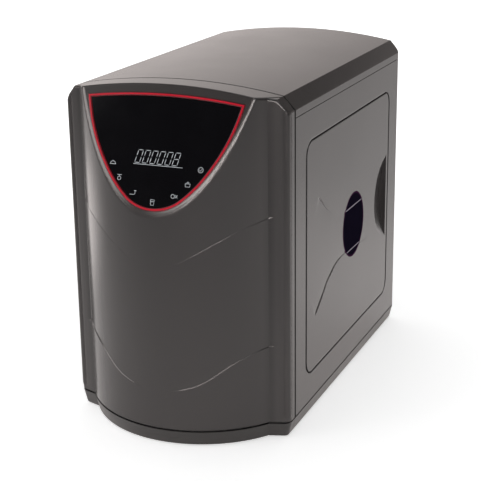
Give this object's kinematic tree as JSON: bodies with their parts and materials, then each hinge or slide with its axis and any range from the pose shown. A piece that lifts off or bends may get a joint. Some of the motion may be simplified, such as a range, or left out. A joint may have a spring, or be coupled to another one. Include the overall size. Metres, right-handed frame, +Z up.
{
  "type": "water purifier",
  "caption": "Free-standing water purifier case with a bulged front, inclined display, lift-off lid and hinged side doors over filters and pump.",
  "frame": {"origin": "on the floor under the middle of the case's box", "axes": "+X to the right of someone facing the display, +Y from the display to the back, +Z up"},
  "size_m": [0.262, 0.469, 0.393],
  "materials": {
    "case_shell": "glossy warm pewter grey",
    "door_shell": "glossy warm pewter grey",
    "plinth": "satin dark grey",
    "display_black": "polished black acrylic",
    "red_trim": "gloss red",
    "badge_black": "polished near-black",
    "black_rubber": "matte",
    "circuit_green": "solder mask",
    "white_plastic": "satin white",
    "black_plastic": "satin black",
    "zinc_steel": "zinc-plated sheet",
    "polished_steel": "ground pin",
    "white_tube": "translucent white tube"
  },
  "bodies": {
    "case": {"base_tray": "plinth", "feet": "black_rubber", "front_cover": "case_shell", "display_trim": "red_trim", "display_panel": "display_black", "control_board": "circuit_green", "right_side_panel": "case_shell", "left_side_panel": "case_shell", "right_hinge_pins": "polished_steel", "left_hinge_pins": "polished_steel", "right_magnets": "polished_steel", "left_magnets": "polished_steel", "back_panel": "black_plastic", "power_inlet": "black_plastic", "port_collets": "white_plastic", "drain_port": "white_plastic", "tank_port": "white_plastic", "tap_port": "white_plastic", "feed_port": "white_plastic", "tank_tee": "white_plastic", "partition": "zinc_steel", "filter_manifold": "white_plastic", "membrane_housing": "white_plastic", "membrane_cap": "white_plastic", "membrane_clips": "white_plastic", "inline_filter": "white_plastic", "inline_clips": "white_plastic", "pump_motor": "zinc_steel", "pump_head": "black_plastic", "pump_bracket": "zinc_steel", "pump_mounts": "black_rubber", "power_supply": "black_plastic", "solenoid_valve": "white_plastic", "low_pressure_switch": "black_plastic", "high_pressure_switch": "black_plastic", "flow_restrictor": "white_plastic", "raw_water_tubes": "white_tube", "pressure_tube": "white_tube", "product_tubes": "white_tube", "drain_tube": "white_tube"},
    "right_door": {"right_door": "door_shell", "door_badge": "badge_black", "right_hinge_arms": "black_plastic", "right_strikes": "zinc_steel"},
    "left_door": {"left_door": "door_shell", "left_hinge_arms": "black_plastic", "left_strikes": "zinc_steel"},
    "lid": {"top_lid": "case_shell"},
    "sediment_filter": {"sediment_cartridge": "white_plastic"},
    "carbon_filter": {"carbon_cartridge": "white_plastic"},
    "fine_filter": {"fine_cartridge": "white_plastic"}
  },
  "joints": [
    {"name": "right_door_hinge", "type": "hinge", "parent": "case", "child": "right_door", "pos_m": [0.123, -0.1315, 0.19], "axis": [0, 0, -1], "range_deg": [0, 80]},
    {"name": "left_door_hinge", "type": "hinge", "parent": "case", "child": "left_door", "pos_m": [-0.123, -0.1315, 0.19], "axis": [0, 0, 1], "range_deg": [0, 80]},
    {"name": "lid_lift", "type": "slide", "parent": "case", "child": "lid", "axis": [0, 0, 1], "range_m": [0, 0.06]},
    {"name": "sediment_turn", "type": "hinge", "parent": "case", "child": "sediment_filter", "pos_m": [0.0688, -0.0625, 0.2], "axis": [0, 0, 1], "range_deg": [0, 90]},
    {"name": "carbon_turn", "type": "hinge", "parent": "case", "child": "carbon_filter", "pos_m": [0.0688, 0.0375, 0.2], "axis": [0, 0, 1], "range_deg": [0, 90]},
    {"name": "fine_turn", "type": "hinge", "parent": "case", "child": "fine_filter", "pos_m": [0.0688, 0.1375, 0.2], "axis": [0, 0, 1], "range_deg": [0, 90]}
  ]
}
